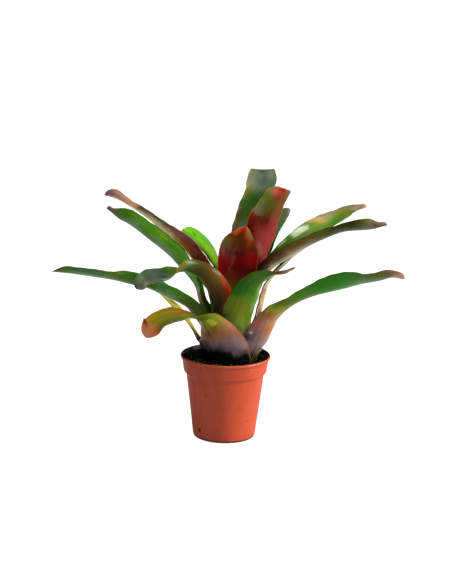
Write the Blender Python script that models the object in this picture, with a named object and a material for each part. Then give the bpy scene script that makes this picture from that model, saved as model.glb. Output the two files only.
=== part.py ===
# A neoregelia bromeliad in a 12 cm terracotta-coloured nursery pot.
# Z is up. The origin is the middle of the pot's flat underside. Sizes are in millimetres,
# turned to metres where a mesh is made.

import math

import bmesh
import bpy
import numpy as np
from mathutils import Matrix

MM = 0.001
GAP = 0.3                 # clearance between pieces that touch

# Pot: injection-moulded, with a rolled lip, a straight band under it and a tapering wall
POT_HEIGHT = 112.0
LIP_RADIUS = 60.0
LIP_DEPTH = 6.0           # how far the rolled lip reaches down
BAND_TOP_RADIUS = 57.5
BAND_FOOT_RADIUS = 55.5
BAND_FOOT_HEIGHT = 91.0
WALL_TOP_RADIUS = 51.7
WALL_TOP_HEIGHT = 85.0
WALL_FOOT_RADIUS = 41.7
WALL_FOOT_HEIGHT = 4.0
FOOT_RADIUS = 38.8
POT_WALL = 1.1
POT_FLOOR = 1.5
POT_SIDES = 40
DRAIN_HOLES = 6
DRAIN_RADIUS = 4.0
DRAIN_CIRCLE = 25.0       # radius of the ring of holes in the floor
DRAIN_AZIMUTH = 13.0      # of the first hole
SIDE_HOLE_AZIMUTH = -139.0
SIDE_HOLE_HEIGHT = 14.0
SIDE_HOLE_WIDTH = 4.0
SIDE_HOLE_LENGTH = 6.0

# Potting mix: fills the pot to just under the lip
MIX_HEIGHT = 106.0
MIX_RELIEF = 1.6          # lumps in the surface, up and down

# Plant: stands a little off the pot's centre, its stem in a hole in the mix
PLANT_X = 7.0
PLANT_Y = 6.0
STEM_FOOT = 70.0
STEM_TOP = 132.0
STEM_FOOT_RADIUS = 9.0
STEM_TOP_RADIUS = 2.8
STEM_SIDES = 24

# Rosette: every leaf starts on the stem lower, and runs up further out, than the one inside it
LEAF_THICKNESS = 0.9
HEART_BASE_HEIGHT = 127.0
BASE_STEP = 2.35          # down the stem from one leaf to the next
HEART_RADIUS = 9.0
RADIUS_STEP = 1.75        # outwards from one sheath to the next
HEART_SHEATH_HEIGHT = 155.0
SHEATH_STEP = 2.1
LEAF_STEP = 14.0          # length of one row of faces along a leaf
LEAF_ROWS = (12, 23)      # fewest and most rows along a leaf
LEAF_COLUMNS = 6          # faces across a leaf
NARROWEST = 0.6           # half width that no leaf goes below

# Leaves from the heart outwards. spine: points that the leaf's middle passes, as (distance from
# the plant's axis, height, sideways drift). half: half the width, cup: degrees that each half is
# curled up, roll: degrees that the blade is turned about its own length, each as (share of the
# length, value). opens: heights above the sheath between which the wrapped sheath turns into
# the free blade.
LEAVES = [
    dict(
        name="heart_leaf", color="#5A8A1E", azimuth=-60, opens=(40, 90),
        spine=[(9.5, 170), (11, 183), (14, 193)],
        half=[(0, 5), (0.3, 8), (0.6, 11), (0.85, 9), (1, 1.5)],
        cup=[(0, 40), (0.6, 60), (1, 40)],
    ),
    dict(
        name="inner_red_leaf", color="#5E1712", azimuth=100, opens=(25, 75),
        spine=[(12, 188, -2), (17, 219.5, -6), (22.5, 245, -10), (27, 261.5, -16), (30.5, 277, -23)],
        half=[(0, 6), (0.3, 12), (0.5, 25.5), (0.66, 31.5), (0.82, 27.5), (0.95, 12.5), (1, 3)],
        cup=[(0, 40), (0.6, 60), (1, 25)],
    ),
    dict(
        name="tall_red_leaf", color="#8E3A3C", azimuth=65, opens=(25, 75),
        spine=[
            (17, 185, -4), (32.5, 222, -10.5), (46, 258, -18), (56.5, 289.5, -22),
            (66.5, 313, -29.5), (73, 322, -34), (79.5, 326, -36.5),
        ],
        half=[(0, 6), (0.25, 12), (0.45, 18.5), (0.7, 24), (0.9, 18), (1, 15)],
        cup=[(0, 40), (0.5, 50), (1, 10)],
    ),
    dict(
        name="tall_green_leaf", color="#4C6638", azimuth=95, opens=(25, 75),
        spine=[
            (21.5, 185, -4), (39.5, 234.5, -12), (51, 271, -19), (60.5, 302, -28.5),
            (66.5, 323, -39), (72.5, 338, -44), (83, 346, -46), (98.5, 340.5, -45.5),
        ],
        half=[(0, 6), (0.25, 12), (0.5, 18.5), (0.75, 16), (0.88, 19.5), (0.96, 12.5), (1, 2)],
        cup=[(0, 40), (0.5, 45), (1, 5)],
    ),
    dict(
        name="rear_right_leaf", color="#5F7A4E", azimuth=55, opens=(20, 60),
        spine=[
            (23, 180.5), (44, 218.5, -5), (61.5, 246, -9), (76.5, 271, -12),
            (89.5, 287.5, -19), (98.5, 297, -18),
        ],
        half=[(0, 6), (0.25, 11), (0.6, 16.5), (0.85, 12.5), (1, 6.5)],
        cup=[(0, 40), (0.6, 40), (1, 10)],
    ),
    dict(
        name="lime_leaf", color="#66C414", azimuth=118, opens=(20, 60),
        spine=[
            (23, 176), (30, 202.5), (43.5, 226, 3.5), (63, 244, 8),
            (83, 258.5, 16), (96.5, 265, 24.5),
        ],
        half=[(0, 6), (0.25, 9), (0.4, 8), (0.55, 3), (0.7, 9), (0.85, 11.5), (1, 9)],
        cup=[(0, 40), (0.6, 30), (1, 15)],
    ),
    dict(
        name="upper_right_leaf", color="#5C7B3C", azimuth=32, opens=(5, 45),
        spine=[
            (25, 172), (39.5, 206.5, 0.5), (64.5, 238, 1.5), (86.5, 253, -2), (111.5, 264.5, -3),
            (160.5, 281.5, -3.5), (186, 290.5, -1), (213, 295.5, -1.5),
        ],
        half=[(0, 7), (0.15, 18.5), (0.32, 3.5), (0.7, 18.5), (0.88, 10.5), (0.95, 5.5), (1, 3.5)],
        cup=[(0, 40), (0.35, 40), (1, 25)],
        roll=[(0, 0), (0.4, -14), (0.7, 11), (1, 37)],
    ),
    dict(
        name="upper_left_leaf", color="#5A3A1E", azimuth=157, opens=(5, 45),
        spine=[
            (28, 175), (41, 216), (57.5, 238, 0.5), (77, 255.5, 0.5), (97.5, 267.5, 1),
            (119.5, 281.5, -1.5), (142, 293.5, -2.5), (176, 310, -1), (188, 310.5, 3),
        ],
        half=[(0, 7), (0.15, 16), (0.32, 14.5), (0.55, 19.5), (0.75, 11), (0.9, 8), (0.97, 10), (1, 6)],
        cup=[(0, 40), (0.35, 50), (1, 35)],
        roll=[(0, 0), (0.38, -3), (0.52, -4), (0.8, -7), (1, -24)],
    ),
    dict(
        name="middle_right_leaf", color="#554526", azimuth=-15, opens=(10, 70),
        spine=[
            (28, 172.5), (37, 203), (45, 222, -0.5), (59, 236.5, -4), (77, 249, -4.5),
            (101.5, 266.5, -4), (126.5, 280.5, -3.5), (147, 289, -2.5), (173.5, 293, 1),
            (201.5, 300, 6.5),
        ],
        half=[
            (0, 7), (0.15, 18), (0.32, 16), (0.5, 31), (0.65, 23),
            (0.78, 16), (0.91, 24), (0.97, 7), (1, 4),
        ],
        cup=[(0, 40), (0.3, 22), (0.5, 50), (1, 40)],
        roll=[(0, 0), (0.6, -11), (0.75, -22), (0.9, -22), (1, -49)],
    ),
    dict(
        name="arching_leaf", color="#6B5A2C", azimuth=-128, opens=(5, 45),
        spine=[
            (31.5, 168, 1), (33, 190, 1.5), (39, 209.5, -1.5), (47, 225, -7),
            (59, 232.5, -19.5), (76, 231, -28), (92.5, 227.5, -34.5), (108.5, 228, -38),
            (123.5, 230.5, -38), (135, 226.5, -41), (141, 217, -39),
        ],
        half=[
            (0, 7), (0.16, 13), (0.28, 13.5), (0.42, 22.5), (0.52, 17),
            (0.64, 15.5), (0.75, 16.5), (0.9, 13), (1, 6.5),
        ],
        cup=[(0, 40), (0.2, 30), (0.32, 35), (0.45, 52), (0.6, 85), (0.7, 70), (0.85, 25), (1, 10)],
        roll=[(0, 0), (0.37, -10), (0.5, 28), (0.61, 60), (0.71, 19), (0.81, -21), (1, -27)],
    ),
    dict(
        name="green_left_leaf", color="#3F8A2A", azimuth=170, opens=(5, 45),
        spine=[
            (37, 167.5), (44.5, 182.5), (49.5, 200, -0.5), (61.5, 215.5, -0.5), (83, 239, -0.5),
            (110.5, 260), (138, 280, -1), (155, 289, -0.5), (171.5, 299, -3),
        ],
        half=[(0, 7), (0.15, 22), (0.33, 14), (0.65, 29), (0.91, 21), (0.97, 7.5), (1, 6.5)],
        cup=[(0, 40), (0.35, 60), (1, 40)],
        roll=[(0, 0), (0.4, 2), (0.52, 31), (0.7, 31), (1, 42)],
    ),
    dict(
        name="narrow_right_leaf", color="#8A7A50", azimuth=0, opens=(5, 45),
        spine=[
            (37.5, 162, -0.5), (42.5, 185), (47.5, 206), (57, 222, 0.5), (70.5, 235.5, 0.5),
            (81, 246, 0.5), (89.5, 253, 0.5), (96.5, 257.5, 0.5),
        ],
        half=[(0, 7), (0.15, 24), (0.4, 18.5), (0.65, 8.5), (0.9, 9), (1, 1.5)],
        cup=[(0, 40), (0.3, 30), (0.55, 60), (1, 40)],
    ),
    dict(
        name="folded_front_leaf", color="#5F8A2E", azimuth=-70, opens=(15, 45),
        spine=[
            (36, 155, -5.5), (38.5, 176.5, -1), (44, 195.5, 4.5), (49, 212.5, 10),
            (57.5, 224, 20), (68, 232, 30.5), (80.5, 236, 40.5), (90.5, 245.5, 51.5),
        ],
        half=[
            (0, 7), (0.12, 20.5), (0.3, 21.5), (0.5, 25), (0.66, 19),
            (0.78, 15.5), (0.88, 7.5), (1, 2),
        ],
        cup=[(0, 40), (0.35, 50), (1, 60)],
    ),
    dict(
        name="long_left_leaf", color="#3E7A2C", azimuth=-170, opens=(5, 35),
        spine=[
            (40, 150.5), (49, 165), (60, 178, -0.5), (84.5, 192, -1), (112, 206, -2),
            (152.5, 214, -2.5), (192, 221, -2.5), (217.5, 226, -1.5), (236.5, 228.5, 1),
        ],
        half=[
            (0, 7), (0.12, 28.5), (0.35, 18.5), (0.6, 17), (0.75, 27),
            (0.9, 17.5), (0.96, 10.5), (1, 1),
        ],
        cup=[(0, 40), (0.35, 50), (1, 40)],
        roll=[(0, 0), (0.3, 25), (0.6, 42), (0.75, 12), (0.88, 20), (1, 38)],
    ),
    dict(
        name="rear_leaf_a", color="#4F7A34", azimuth=78, opens=(5, 35),
        spine=[(42, 145), (55, 158), (80, 168), (108, 172), (134, 164)],
        half=[(0, 7), (0.15, 26), (0.35, 17), (0.65, 18), (0.9, 12), (1, 1.5)],
        cup=[(0, 40), (0.35, 50), (1, 30)],
    ),
    dict(
        name="rear_leaf_b", color="#4F7A34", azimuth=106, opens=(5, 35),
        spine=[(44, 140), (56, 150), (80, 156), (106, 154), (126, 142)],
        half=[(0, 7), (0.15, 26), (0.35, 17), (0.65, 17), (0.9, 12), (1, 1.5)],
        cup=[(0, 40), (0.35, 50), (1, 30)],
    ),
    dict(
        name="old_leaf", color="#B9A850", azimuth=160, opens=(5, 20),
        spine=[
            (45, 125.5), (55.5, 139.5), (65, 150, -1), (79.5, 163.5, -1.5),
            (91.5, 173, -1.5), (104, 183, -1.5),
        ],
        half=[(0, 7), (0.2, 15.5), (0.5, 5.5), (0.8, 10), (1, 2)],
        cup=[(0, 40), (0.5, 30), (1, 40)],
    ),
    dict(
        name="long_right_leaf", color="#4C9030", azimuth=-25, opens=(-8, 15),
        spine=[
            (47, 130.5, 0.5), (55, 150, -0.5), (62, 165, -1.5), (83, 186.5, -4),
            (114, 205.5, -5.5), (151, 220.5, -3.5), (178.5, 229, -2),
            (205, 236, -2.5), (222, 242.5, -1), (237.5, 242, 3),
        ],
        half=[
            (0, 7), (0.12, 34), (0.25, 31.5), (0.36, 25.5), (0.48, 16), (0.65, 23),
            (0.78, 29), (0.92, 21), (0.97, 14), (1, 7.5),
        ],
        cup=[(0, 40), (0.15, 75), (0.3, 60), (1, 30)],
        roll=[(0, 0), (0.3, -14), (0.5, -22), (0.68, -31), (0.8, -22), (0.92, -17), (1, -42)],
    ),
    dict(
        name="front_leaf", color="#8C6A2E", azimuth=-112, opens=(5, 35),
        spine=[
            (43, 135, -0.5), (45, 150.5, -7), (48.5, 164, -20.5), (61, 171, -37.5),
            (78, 172, -51), (94, 170, -63), (107, 162.5, -70), (112.5, 160, -79.5),
        ],
        half=[
            (0, 8), (0.15, 41), (0.32, 40.5), (0.44, 25.5), (0.6, 13),
            (0.75, 18.5), (0.9, 14.5), (0.97, 18.5), (1, 7),
        ],
        cup=[(0, 40), (0.4, 30), (0.6, 45), (1, 15)],
        roll=[(0, 0), (0.48, 4), (0.62, -19), (1, -8)],
    ),
    dict(
        name="dry_scale", color="#C2A566", azimuth=-40, opens=(-6, 6),
        spine=[(45, 119), (49, 124), (54, 129)],
        half=[(0, 5), (0.4, 8), (0.75, 5), (1, 1.5)],
        cup=[(0, 30), (1, 30)],
    ),
]


def linear(hex_color):
    """An sRGB hex colour as linear RGBA."""
    channels = [int(hex_color[i:i + 2], 16) / 255 for i in (1, 3, 5)]
    return [c / 12.92 if c <= 0.04045 else ((c + 0.055) / 1.055) ** 2.4 for c in channels] + [1.0]


def paint(name, hex_color, roughness):
    """A plain Principled material."""
    material = bpy.data.materials.new(name)
    material.use_nodes = True
    shader = material.node_tree.nodes["Principled BSDF"]
    shader.inputs["Base Color"].default_value = linear(hex_color)
    shader.inputs["Roughness"].default_value = roughness
    shader.inputs["Metallic"].default_value = 0.0
    return material


def place(bm, name, material, parent=None):
    """Turn a bmesh in millimetres into a smooth-shaded object in metres."""
    bmesh.ops.scale(bm, vec=(MM, MM, MM), verts=bm.verts)
    mesh = bpy.data.meshes.new(name)
    bm.to_mesh(mesh)
    bm.free()
    mesh.shade_smooth()
    mesh.set_sharp_from_angle(angle=math.radians(40))
    piece = bpy.data.objects.new(name, mesh)
    piece.data.materials.append(material)
    piece.parent = parent
    bpy.context.collection.objects.link(piece)
    return piece


def turned(profile, sides, middle=(0.0, 0.0)):
    """A body of revolution about an upright axis. The profile runs from axis to axis."""
    bm = bmesh.new()
    points = [bm.verts.new((middle[0] + r, middle[1], z)) for r, z in profile]
    edges = [bm.edges.new(pair) for pair in zip(points, points[1:])]
    bmesh.ops.spin(
        bm, geom=points + edges, cent=(*middle, 0), axis=(0, 0, 1),
        angle=math.tau, steps=sides, use_merge=True,
    )
    bmesh.ops.remove_doubles(bm, verts=bm.verts, dist=0.001)
    bmesh.ops.recalc_face_normals(bm, faces=bm.faces)
    return bm


def cut(piece, bm, name):
    """Subtract a bmesh from a piece and remove the cutter."""
    tool = place(bm, name, piece.data.materials[0])
    modifier = piece.modifiers.new("cut", "BOOLEAN")
    modifier.operation = "DIFFERENCE"
    modifier.solver = "EXACT"
    modifier.object = tool
    depsgraph = bpy.context.evaluated_depsgraph_get()
    mesh = bpy.data.meshes.new_from_object(piece.evaluated_get(depsgraph))
    piece.modifiers.clear()
    piece.data = mesh
    bpy.data.objects.remove(tool)


def through(keys, places):
    """A smooth curve through keys (place, value, ...), read at the given places."""
    keys = np.array(sorted(keys), float)
    x, y = keys[:, 0], keys[:, 1:]
    before = np.maximum(np.arange(len(x)) - 1, 0)
    after = np.minimum(np.arange(len(x)) + 1, len(x) - 1)
    slope = (y[after] - y[before]) / (x[after] - x[before])[:, None]
    j = np.clip(np.searchsorted(x, places, side="right") - 1, 0, len(x) - 2)
    span = (x[j + 1] - x[j])[:, None]
    t = (places - x[j])[:, None] / span
    start = (2 * t**3 - 3 * t**2 + 1) * y[j] + (t**3 - 2 * t**2 + t) * span * slope[j]
    end = (3 * t**2 - 2 * t**3) * y[j + 1] + (t**3 - t**2) * span * slope[j + 1]
    return start + end


def even_path(points, rows):
    """The smooth path through the points, and rows + 1 points evenly along it."""
    points = np.array(points, float)
    steps = np.sqrt(np.linalg.norm(np.diff(points, axis=0), axis=1))
    knots = np.concatenate([[0], np.cumsum(steps)])
    fine = through([(k, *p) for k, p in zip(knots, points)], np.linspace(0, knots[-1], 600))
    run = np.concatenate([[0], np.cumsum(np.linalg.norm(np.diff(fine, axis=0), axis=1))])
    wanted = np.linspace(0, run[-1], rows + 1)
    return np.stack([np.interp(wanted, run, fine[:, i]) for i in range(3)], axis=1)


def unit(vectors):
    return vectors / np.linalg.norm(vectors, axis=-1, keepdims=True)


def stem_radius(height):
    return np.interp(height, (STEM_FOOT, STEM_TOP), (STEM_FOOT_RADIUS, STEM_TOP_RADIUS))


def sheath_points(rank):
    """Where a leaf of this rank leaves the stem and runs up: (out, side, up)."""
    base = HEART_BASE_HEIGHT - BASE_STEP * rank
    inner = stem_radius(base) + GAP + 0.7 * LEAF_THICKNESS
    outer = HEART_RADIUS + RADIUS_STEP * rank
    top = HEART_SHEATH_HEIGHT - SHEATH_STEP * rank
    belly = (inner + 0.72 * (outer - inner), 0, base + 0.32 * (top - base))
    return [(inner, 0, base), belly, (outer, 0, top)]


def leaf_surface(leaf, rank):
    """Points on a leaf's middle layer, rows along and columns across. The leaf points along +X."""
    sheath = sheath_points(rank)
    spine = [(p[0], p[2] if len(p) > 2 else 0, p[1]) for p in leaf["spine"]]
    length = np.linalg.norm(np.diff(np.array(sheath + spine), axis=0), axis=1).sum()
    rows = int(np.clip(round(length / LEAF_STEP), *LEAF_ROWS))
    middle = even_path(sheath + spine, rows)

    along = unit(np.gradient(middle, axis=0))
    across = np.array([0.0, 1.0, 0.0]) - along[:, 1:2] * along
    across = unit(across)
    upper = np.cross(along, across)
    share = np.linspace(0, 1, rows + 1)
    half = np.maximum(through(leaf["half"], share), NARROWEST)
    cup = np.radians(through(leaf["cup"], share))
    roll = np.radians(through(leaf.get("roll", [(0, 0), (1, 0)]), share))
    turned_across = across * np.cos(roll) + upper * np.sin(roll)
    turned_upper = upper * np.cos(roll) - across * np.sin(roll)

    # The free blade: each cross-section is an arc
    side = np.linspace(-1, 1, LEAF_COLUMNS + 1)
    bend = cup * side
    arc_out = (half / cup * np.sin(bend))[:, :, None] * turned_across[:, None, :]
    arc_up = (half / cup * (1 - np.cos(bend)))[:, :, None] * turned_upper[:, None, :]
    blade = middle[:, None, :] + arc_out + arc_up

    # The sheath: the same width wrapped round the plant's axis
    radius = np.hypot(middle[:, 0], middle[:, 1])[:, None]
    angle = np.arctan2(middle[:, 1], middle[:, 0])[:, None] + half / radius * side
    height = np.broadcast_to(middle[:, 2:3], angle.shape)
    wrapped = np.stack([radius * np.cos(angle), radius * np.sin(angle), height], axis=2)

    start, end = (sheath[-1][2] + rise for rise in leaf["opens"])
    opened = np.clip((middle[:, 2] - start) / (end - start), 0, 1)
    opened = np.maximum.accumulate(opened * opened * (3 - 2 * opened))[:, None, None]
    return wrapped * (1 - opened) + blade * opened


def leaf_body(surface):
    """A closed blade: the surface, split in triangles, copied out to both faces."""
    rows, columns = surface.shape[0] - 1, surface.shape[1] - 1
    normal = unit(np.cross(np.gradient(surface, axis=0), np.gradient(surface, axis=1)))
    bm = bmesh.new()
    bmesh.ops.create_grid(bm, x_segments=rows, y_segments=columns, size=0.5)
    cell = bm.verts.layers.int.new("cell")
    for vert in bm.verts:
        row = round((vert.co.x + 0.5) * rows)
        column = round((vert.co.y + 0.5) * columns)
        vert[cell] = row * (columns + 1) + column
    bmesh.ops.triangulate(bm, faces=bm.faces, quad_method="FIXED")
    lower = list(bm.verts)
    shell = bmesh.ops.extrude_face_region(bm, geom=bm.faces)
    upper = [item for item in shell["geom"] if isinstance(item, bmesh.types.BMVert)]
    for verts, offset in ((lower, -LEAF_THICKNESS / 2), (upper, LEAF_THICKNESS / 2)):
        for vert in verts:
            row, column = divmod(vert[cell], columns + 1)
            vert.co = surface[row, column] + offset * normal[row, column]
    bmesh.ops.recalc_face_normals(bm, faces=bm.faces)
    return bm


def make_leaves():
    rosette = bpy.data.objects.new("rosette", None)
    rosette.location = (PLANT_X * MM, PLANT_Y * MM, 0)
    bpy.context.collection.objects.link(rosette)
    for rank, leaf in enumerate(LEAVES):
        bm = leaf_body(leaf_surface(leaf, rank))
        piece = place(bm, leaf["name"], paint(leaf["name"], leaf["color"], 0.35), rosette)
        piece.rotation_euler.z = math.radians(leaf["azimuth"])


def make_stem():
    profile = [
        (0, STEM_FOOT), (STEM_FOOT_RADIUS - 2, STEM_FOOT), (STEM_FOOT_RADIUS, STEM_FOOT + 2),
        (STEM_TOP_RADIUS, STEM_TOP), (0, STEM_TOP),
    ]
    place(turned(profile, STEM_SIDES, (PLANT_X, PLANT_Y)), "stem", paint("stem", "#C9BE8E", 0.7))


def pot_profiles():
    """The pot's outside from the foot to the lip, and its inside from the lip to the floor."""
    outside = [
        (0, 0), (FOOT_RADIUS, 0), (FOOT_RADIUS + 1.6, 0.6), (WALL_FOOT_RADIUS - 0.5, 2.0),
        (WALL_FOOT_RADIUS, WALL_FOOT_HEIGHT), (WALL_TOP_RADIUS, WALL_TOP_HEIGHT),
        (WALL_TOP_RADIUS + 0.9, WALL_TOP_HEIGHT + 2.2), (BAND_FOOT_RADIUS - 1.2, BAND_FOOT_HEIGHT - 2.0),
        (BAND_FOOT_RADIUS, BAND_FOOT_HEIGHT), (BAND_TOP_RADIUS, POT_HEIGHT - LIP_DEPTH),
        (LIP_RADIUS - 0.8, POT_HEIGHT - LIP_DEPTH + 1.8), (LIP_RADIUS, POT_HEIGHT - 2.6),
        (LIP_RADIUS - 0.2, POT_HEIGHT - 0.8), (LIP_RADIUS - 1.0, POT_HEIGHT),
    ]
    inside = [
        (LIP_RADIUS - 1.8, POT_HEIGHT - 0.3), (LIP_RADIUS - 2.3, POT_HEIGHT - 1.6),
        (BAND_TOP_RADIUS - POT_WALL, POT_HEIGHT - LIP_DEPTH - 0.6),
        (BAND_FOOT_RADIUS - POT_WALL, BAND_FOOT_HEIGHT),
        (WALL_TOP_RADIUS - POT_WALL, WALL_TOP_HEIGHT - 0.5),
        (WALL_FOOT_RADIUS - POT_WALL, WALL_FOOT_HEIGHT + 1.5),
        (WALL_FOOT_RADIUS - POT_WALL - 2.0, POT_FLOOR), (0, POT_FLOOR),
    ]
    return outside, inside


def drain_hole(azimuth):
    """A cutter for a round hole in the floor."""
    bm = bmesh.new()
    bmesh.ops.create_cone(
        bm, cap_ends=True, segments=16, radius1=DRAIN_RADIUS, radius2=DRAIN_RADIUS, depth=4 * POT_FLOOR,
    )
    x, y = DRAIN_CIRCLE * math.cos(math.radians(azimuth)), DRAIN_CIRCLE * math.sin(math.radians(azimuth))
    bmesh.ops.translate(bm, vec=(x, y, POT_FLOOR / 2), verts=bm.verts)
    return bm


def side_hole(azimuth):
    """A cutter for an upright oval hole in the foot of the wall."""
    bm = bmesh.new()
    radius = SIDE_HOLE_WIDTH / 2
    bmesh.ops.create_cone(
        bm, cap_ends=True, segments=16, radius1=radius, radius2=radius, depth=10 * POT_WALL,
    )
    bmesh.ops.scale(bm, vec=(SIDE_HOLE_LENGTH / SIDE_HOLE_WIDTH, 1, 1), verts=bm.verts)
    bmesh.ops.rotate(bm, matrix=Matrix.Rotation(math.pi / 2, 3, "Y"), verts=bm.verts)
    bmesh.ops.translate(bm, vec=(WALL_FOOT_RADIUS, 0, SIDE_HOLE_HEIGHT), verts=bm.verts)
    bmesh.ops.rotate(bm, matrix=Matrix.Rotation(math.radians(azimuth), 3, "Z"), verts=bm.verts)
    return bm


def make_pot():
    outside, inside = pot_profiles()
    pot = place(turned(outside + inside, POT_SIDES), "pot", paint("pot", "#D2603A", 0.45))
    for i in range(DRAIN_HOLES):
        cut(pot, drain_hole(DRAIN_AZIMUTH + 360 * i / DRAIN_HOLES), "drain_hole_cutter")
    for azimuth in (SIDE_HOLE_AZIMUTH, SIDE_HOLE_AZIMUTH + 180):
        cut(pot, side_hole(azimuth), "side_hole_cutter")


def make_mix():
    """Potting mix: follows the pot's inside, with lumps on top and a pit for the plant's base."""
    inside = pot_profiles()[1]
    lip, below = inside[2], [(r - GAP, z) for r, z in inside[3:-2]]
    top_radius = float(np.interp(MIX_HEIGHT, (below[0][1], lip[1]), (below[0][0], lip[0] - GAP)))
    rings = [(top_radius * share, MIX_HEIGHT) for share in (0, 0.2, 0.4, 0.6, 0.75, 0.88, 1.0)]
    foot = [(inside[-2][0] - GAP, POT_FLOOR + GAP), (0, POT_FLOOR + GAP)]
    bm = turned(rings + below + foot, POT_SIDES)
    for vert in bm.verts:
        x, y, z = vert.co
        reach = math.hypot(x, y)
        if z == MIX_HEIGHT and reach < top_radius - 1:
            lump = math.sin(0.31 * x + 1.7) * math.cos(0.27 * y) + 0.5 * math.sin(0.53 * y + 0.41 * x)
            vert.co.z = z + MIX_RELIEF * 0.65 * lump
    mix = place(bm, "potting_mix", paint("potting_mix", "#1C1714", 0.95))

    # The pit clears the outermost sheath and the stem
    sheath = even_path(sheath_points(len(LEAVES) - 1), 10)
    room = LEAF_THICKNESS / 2 + 2 * GAP
    pit = [(0, STEM_FOOT - GAP), (STEM_FOOT_RADIUS + GAP, STEM_FOOT - GAP)]
    pit += [(STEM_FOOT_RADIUS + GAP, sheath[0][2] - room)]
    slope = unit(np.gradient(sheath[:, [0, 2]], axis=0))
    pit += [(r + room * s[1], z - room * s[0]) for (r, _, z), s in zip(sheath, slope)]
    pit += [(pit[-1][0] + 1, MIX_HEIGHT + 14), (0, MIX_HEIGHT + 14)]
    cut(mix, turned(pit, POT_SIDES, (PLANT_X, PLANT_Y)), "pit")


def clear_scene():
    for item in list(bpy.data.objects):
        bpy.data.objects.remove(item)


clear_scene()
make_pot()
make_mix()
make_stem()
make_leaves()
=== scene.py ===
import math

import bmesh
import bpy
import numpy as np
from mathutils import Matrix, Vector, noise


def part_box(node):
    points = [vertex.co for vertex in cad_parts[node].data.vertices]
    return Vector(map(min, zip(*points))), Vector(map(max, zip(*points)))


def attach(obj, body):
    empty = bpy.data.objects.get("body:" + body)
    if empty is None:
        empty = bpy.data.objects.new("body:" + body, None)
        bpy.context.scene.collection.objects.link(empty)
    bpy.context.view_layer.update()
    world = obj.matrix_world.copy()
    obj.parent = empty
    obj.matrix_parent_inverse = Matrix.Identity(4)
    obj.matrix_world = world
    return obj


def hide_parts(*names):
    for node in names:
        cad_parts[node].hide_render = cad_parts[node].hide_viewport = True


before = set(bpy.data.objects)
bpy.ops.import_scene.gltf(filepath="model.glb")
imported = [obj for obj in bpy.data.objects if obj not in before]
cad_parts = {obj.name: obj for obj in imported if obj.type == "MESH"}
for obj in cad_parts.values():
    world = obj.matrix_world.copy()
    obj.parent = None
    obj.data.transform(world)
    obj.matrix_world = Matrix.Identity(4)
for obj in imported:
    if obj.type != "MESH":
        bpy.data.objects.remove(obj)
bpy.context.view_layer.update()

# Nursery pot. Injection-moulded polypropylene in a terracotta red, with a rolled lip, a straight
# band under it and a tapering wall. It stands on its flat foot, and water drains through six
# holes in the floor and two low in the wall.
MM = 0.001
GAP = 0.3                     # clearance between pieces that touch, in mm as all sizes here
POT_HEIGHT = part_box("pot")[1].z / MM
LIP_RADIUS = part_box("pot")[1].x / MM
LIP_DEPTH = 6.0
BAND_TOP_RADIUS = 57.5
BAND_FOOT_RADIUS = 55.5
BAND_FOOT_HEIGHT = 91.0
WALL_TOP_RADIUS = 51.7
WALL_TOP_HEIGHT = 85.0
WALL_FOOT_RADIUS = 41.7
WALL_FOOT_HEIGHT = 4.0
FOOT_RADIUS = 38.8
POT_WALL = 1.1
POT_FLOOR = 1.5
POT_SIDES = 192
MOULD_ROUNDING = 0.35         # radius that the mould leaves on each edge
DRAIN_HOLES = 6
DRAIN_RADIUS = 4.0
DRAIN_CIRCLE = 25.0
DRAIN_AZIMUTH = 13.0
SIDE_HOLE_AZIMUTH = -139.0
SIDE_HOLE_HEIGHT = 14.0
SIDE_HOLE_WIDTH = 4.0
SIDE_HOLE_LENGTH = 6.0
HOLE_RINGS = (9.0, 19.0)      # rings of faces under and over the side holes, for smooth shading

TERRACOTTA = "#B4421C"
TERRACOTTA_DEEP = "#A83B18"
TERRACOTTA_SCUFFED = "#C45C3C"
RED_BROWN = "#5A160B"
INSIDE_WALL_DARK = "#0C0906"
# near black, painted round the foot as its contact shadow
FOOT_PAINTED_SHADOW = "#1E0C06"


def linear(hex_color):
    """An sRGB hex colour as linear RGBA."""
    channels = [int(hex_color[i:i + 2], 16) / 255 for i in (1, 3, 5)]
    return [c / 12.92 if c <= 0.04045 else ((c + 0.055) / 1.055) ** 2.4 for c in channels] + [1.0]


def wire(item, links):
    """Give a node's sockets, by name or number, values, other nodes' outputs or other nodes."""
    for socket, value in links.items():
        if isinstance(value, bpy.types.Node):
            value = next(output for output in value.outputs if output.enabled)
        if isinstance(value, bpy.types.NodeSocket):
            item.id_data.links.new(value, item.inputs[socket])
        else:
            item.inputs[socket].default_value = value


def add(tree, kind, links=None, stops=None, **settings):
    """Add a shader node with its settings, its links and, for a colour ramp, its stops."""
    item = tree.nodes.new("ShaderNode" + kind)
    for name, value in settings.items():
        setattr(item, name, value)
    wire(item, links or {})
    if stops:
        band = item.color_ramp.elements
        band.remove(band[1])
        band[0].position, band[0].color = stops[0][0], linear(stops[0][1])
        for position, color in stops[1:]:
            band.new(position).color = linear(color)
    return item


def finish(name, **sockets):
    """A material with one Principled shader: returns the material, its tree and the shader."""
    material = bpy.data.materials.new(name)
    material.use_nodes = True
    shader = material.node_tree.nodes["Principled BSDF"]
    for socket, value in sockets.items():
        shader.inputs[socket.replace("_", " ")].default_value = value
    return material, material.node_tree, shader


def place(bm, name, material, sharp=40):
    """Turn a bmesh in millimetres into a smooth-shaded object in metres."""
    bmesh.ops.scale(bm, vec=(MM, MM, MM), verts=bm.verts)
    mesh = bpy.data.meshes.new(name)
    bm.to_mesh(mesh)
    bm.free()
    mesh.shade_smooth()
    mesh.set_sharp_from_angle(angle=math.radians(sharp))
    mesh.materials.append(material)
    piece = bpy.data.objects.new(name, mesh)
    bpy.context.scene.collection.objects.link(piece)
    return piece


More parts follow.
